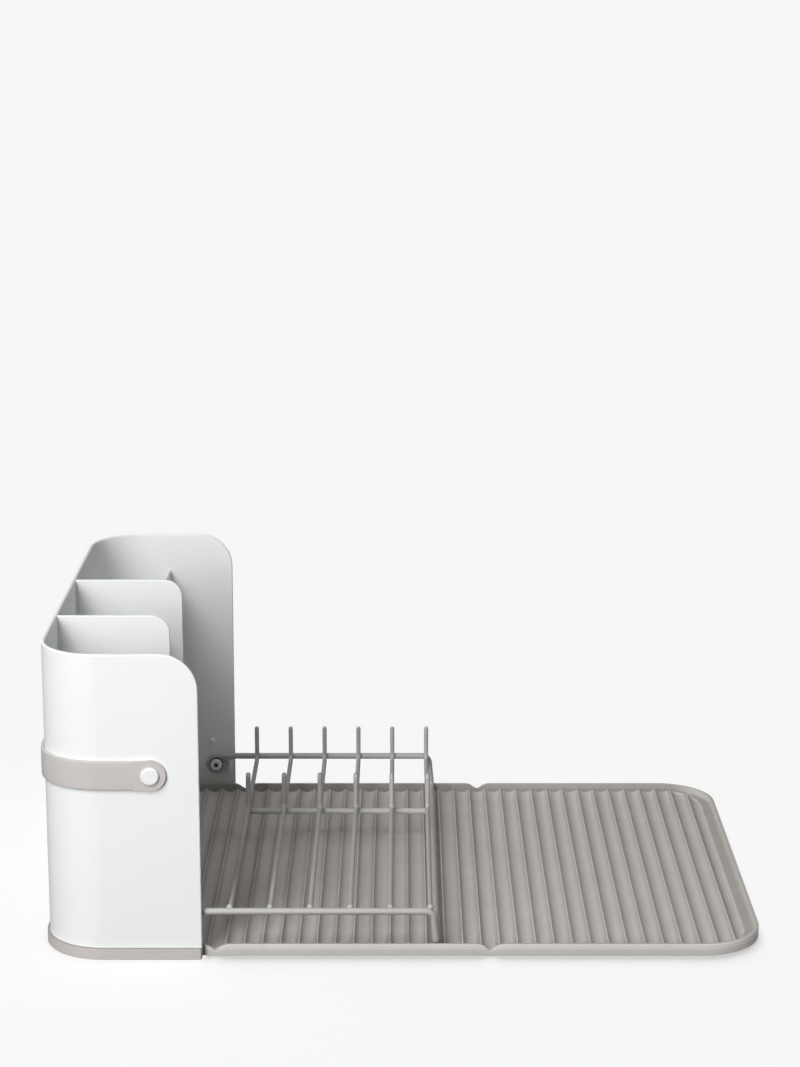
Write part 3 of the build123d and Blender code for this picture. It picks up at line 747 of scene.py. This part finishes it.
def make_screw_details():
    """A near-black disc in each pivot screw's socket and a near-black ring round its head, both painted shade: the
    socket's hollow and the gap round the head.
    """
    centre = joint_at("rack_fold")
    for name, side in (("near", -1), ("far", 1)):
        low, high = node_box("pivot_screw_" + name)
        face = min(abs(low.y), abs(high.y))
        builder = bmesh.new()
        # Near-black disc standing in for the shade inside the socket.
        add_tube(builder, centre, 0, SOCKET_R, side * (face - 0.08), side * (face + 0.3))
        socket = finish_mesh("screw_socket_" + name, builder, "screw_metal",
                             material="dark_gap")
        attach(socket, "caddy")
        builder = bmesh.new()
        # Near-black ring standing in for the shade in the gap round the head.
        add_tube(builder, centre, SHADE_RING_INNER_R, SHADE_RING_OUTER_R, side * (face + SHADE_RING_FRONT),
                 side * (face + SHADE_RING_BACK))
        shade_ring = finish_mesh("screw_seal_" + name, builder, "screw_metal", material="dark_gap")
        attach(shade_ring, "caddy")


# ---------------------------------------------------------------------------------------
# Studio: floor, lights and camera
# ---------------------------------------------------------------------------------------
FLOOR_REACH = 120.0          # metres, so that the floor fills the whole background
FLOOR_GLOW = 0.40            # light that the camera sees whatever falls on the floor
FLOOR_DIFFUSE = 0.477        # share of the floor's own light that the camera sees
FLOOR_BOUNCE = 0.02          # share that reaches the object
SKY = 0.105                  # even light from all round
BACKDROP = 0.93              # what the camera sees behind the floor
FRONT = Vector((0, -0.2, 0))


def make_floor():
    """Plain pale floor: partly glowing to the camera, so that shadows on it stay light."""
    builder = bmesh.new()
    reach = FLOOR_REACH
    corners = [builder.verts.new((x, y, 0)) for x, y in
               ((-reach, -reach), (reach, -reach), (reach, reach), (-reach, reach))]
    builder.faces.new(corners)
    mesh = bpy.data.meshes.new("studio_floor")
    builder.to_mesh(mesh)
    builder.free()
    floor = bpy.data.objects.new("studio_floor", mesh)
    bpy.context.scene.collection.objects.link(floor)
    material = bpy.data.materials.new("studio_floor")
    material.use_nodes = True
    tree = material.node_tree
    tree.nodes.clear()
    output = tree.nodes.new("ShaderNodeOutputMaterial")
    both = tree.nodes.new("ShaderNodeAddShader")
    diffuse = tree.nodes.new("ShaderNodeBsdfDiffuse")
    glow = tree.nodes.new("ShaderNodeEmission")
    path = tree.nodes.new("ShaderNodeLightPath")
    seen = span(tree, path.outputs["Is Camera Ray"], 0, 1, FLOOR_BOUNCE, FLOOR_DIFFUSE)
    tree.links.new(tint(tree, (1, 1, 1), seen), diffuse.inputs["Color"])
    shine = span(tree, path.outputs["Is Camera Ray"], 0, 1, 0, FLOOR_GLOW)
    tree.links.new(shine, glow.inputs["Strength"])
    tree.links.new(diffuse.outputs[0], both.inputs[0])
    tree.links.new(glow.outputs[0], both.inputs[1])
    tree.links.new(both.outputs[0], output.inputs["Surface"])
    mesh.materials.append(material)
    return floor


def place_light(name, light, elevation, azimuth, distance=2.0):
    """Azimuth 0 comes from the front, and 90 from the left."""
    lamp = bpy.data.objects.new(name, light)
    e, a = math.radians(elevation), math.radians(azimuth)
    towards = Vector((-math.sin(a) * math.cos(e), -math.cos(a) * math.cos(e), math.sin(e)))
    lamp.location = FRONT + distance * towards
    lamp.rotation_mode = "QUATERNION"
    lamp.rotation_quaternion = towards.to_track_quat("Z", "Y")
    lamp.visible_camera = False
    bpy.context.scene.collection.objects.link(lamp)
    return lamp


def make_sun(name, elevation, azimuth, level, spread):
    light = bpy.data.lights.new(name, "SUN")
    light.energy = level * math.pi
    light.angle = math.radians(spread)
    return place_light(name, light, elevation, azimuth)


def make_softbox(name, elevation, azimuth, level, size, distance):
    """A round soft light. Level 1 shows a white surface that faces it as white."""
    light = bpy.data.lights.new(name, "AREA")
    light.shape = "DISK"
    light.size = size
    light.energy = level * math.pi ** 2 * (distance ** 2 + size ** 2 / 4)
    return place_light(name, light, elevation, azimuth, distance=distance)


def link_lights(lights, floor_lights, floor):
    """The floor has lights of its own, so that it stays evenly pale."""
    not_floor = bpy.data.collections.new("all_but_the_floor")
    not_floor.objects.link(floor)
    not_floor.collection_objects[0].light_linking.link_state = "EXCLUDE"
    for lamp in lights:
        lamp.light_linking.receiver_collection = not_floor
    only_floor = bpy.data.collections.new("floor_alone")
    only_floor.objects.link(floor)
    mat_pieces = bpy.data.collections.new("mat_casts_on_the_floor")
    low_pieces = bpy.data.collections.new("mat_and_boot_cast_on_the_floor")
    for name in ("mat_hinge_1", "mat_inner", "mat_hinge_2", "mat_outer"):
        mat_pieces.objects.link(bpy.data.objects[name])
        low_pieces.objects.link(bpy.data.objects[name])
    low_pieces.objects.link(frame["nodes"]["base_boot"])
    for lamp, blockers in zip(floor_lights, (mat_pieces, low_pieces)):
        lamp.light_linking.receiver_collection = only_floor
        lamp.light_linking.blocker_collection = blockers


def make_light(floor):
    """Soft lights stacked at the front left, with weaker ones at the right, rear and top."""
    lights = [
        make_softbox("front_left_low", 8, 25, 0.27, 1.0, 2.6),
        make_softbox("front_left", 24, 25, 0.39, 1.0, 2.6),
        make_softbox("front_left_high", 48, 35, 0.42, 0.9, 2.1),
        make_softbox("right_high", 50, -80, 0.11, 0.8, 1.8),
        make_softbox("rear_left", 30, 125, 0.20, 0.8, 1.8),
        make_softbox("overhead", 100, 0, 0.07, 0.9, 1.7),
    ]
    floor_lights = [
        make_sun("floor_light", 35, 180, 1.22, 46),
        make_sun("floor_light_steep", 75, 180, 0.31, 60),
    ]
    link_lights(lights, floor_lights, floor)
    rim_light = make_softbox("rim_light", 6, -80, 0.22, 0.6, 1.9)
    mat_end = bpy.data.collections.new("free_end_of_the_mat")
    mat_end.objects.link(bpy.data.objects["mat_outer"])
    rim_light.light_linking.receiver_collection = mat_end
    world = bpy.data.worlds.new("studio_sky")
    bpy.context.scene.world = world
    world.use_nodes = True
    tree = world.node_tree
    background = tree.nodes["Background"]
    path = tree.nodes.new("ShaderNodeLightPath")
    level = span(tree, path.outputs["Is Camera Ray"], 0, 1, SKY, BACKDROP)
    tree.links.new(level, background.inputs["Strength"])
    background.inputs["Color"].default_value = (1, 1, 1, 1)
    bpy.context.scene.view_settings.view_transform = "Standard"


def make_camera():
    """Camera at the height, distance and tilt of a product picture with a long lens."""
    data = bpy.data.cameras.new("camera")
    data.sensor_width = 36
    data.lens = 86.03
    data.clip_start = 0.05
    data.clip_end = 500
    camera = bpy.data.objects.new("camera", data)
    camera.location = (-0.00085, -2.1181, 0.7872)
    tilt = 12.942
    turn = 0.058
    camera.rotation_euler = (math.radians(90 - tilt), 0, math.radians(turn))
    bpy.context.scene.collection.objects.link(camera)
    bpy.context.scene.camera = camera


paint_cad_nodes()
make_mat()
make_mat_tongue()
make_strap()
make_weld_beads()
make_screw_details()
make_light(make_floor())
make_camera()
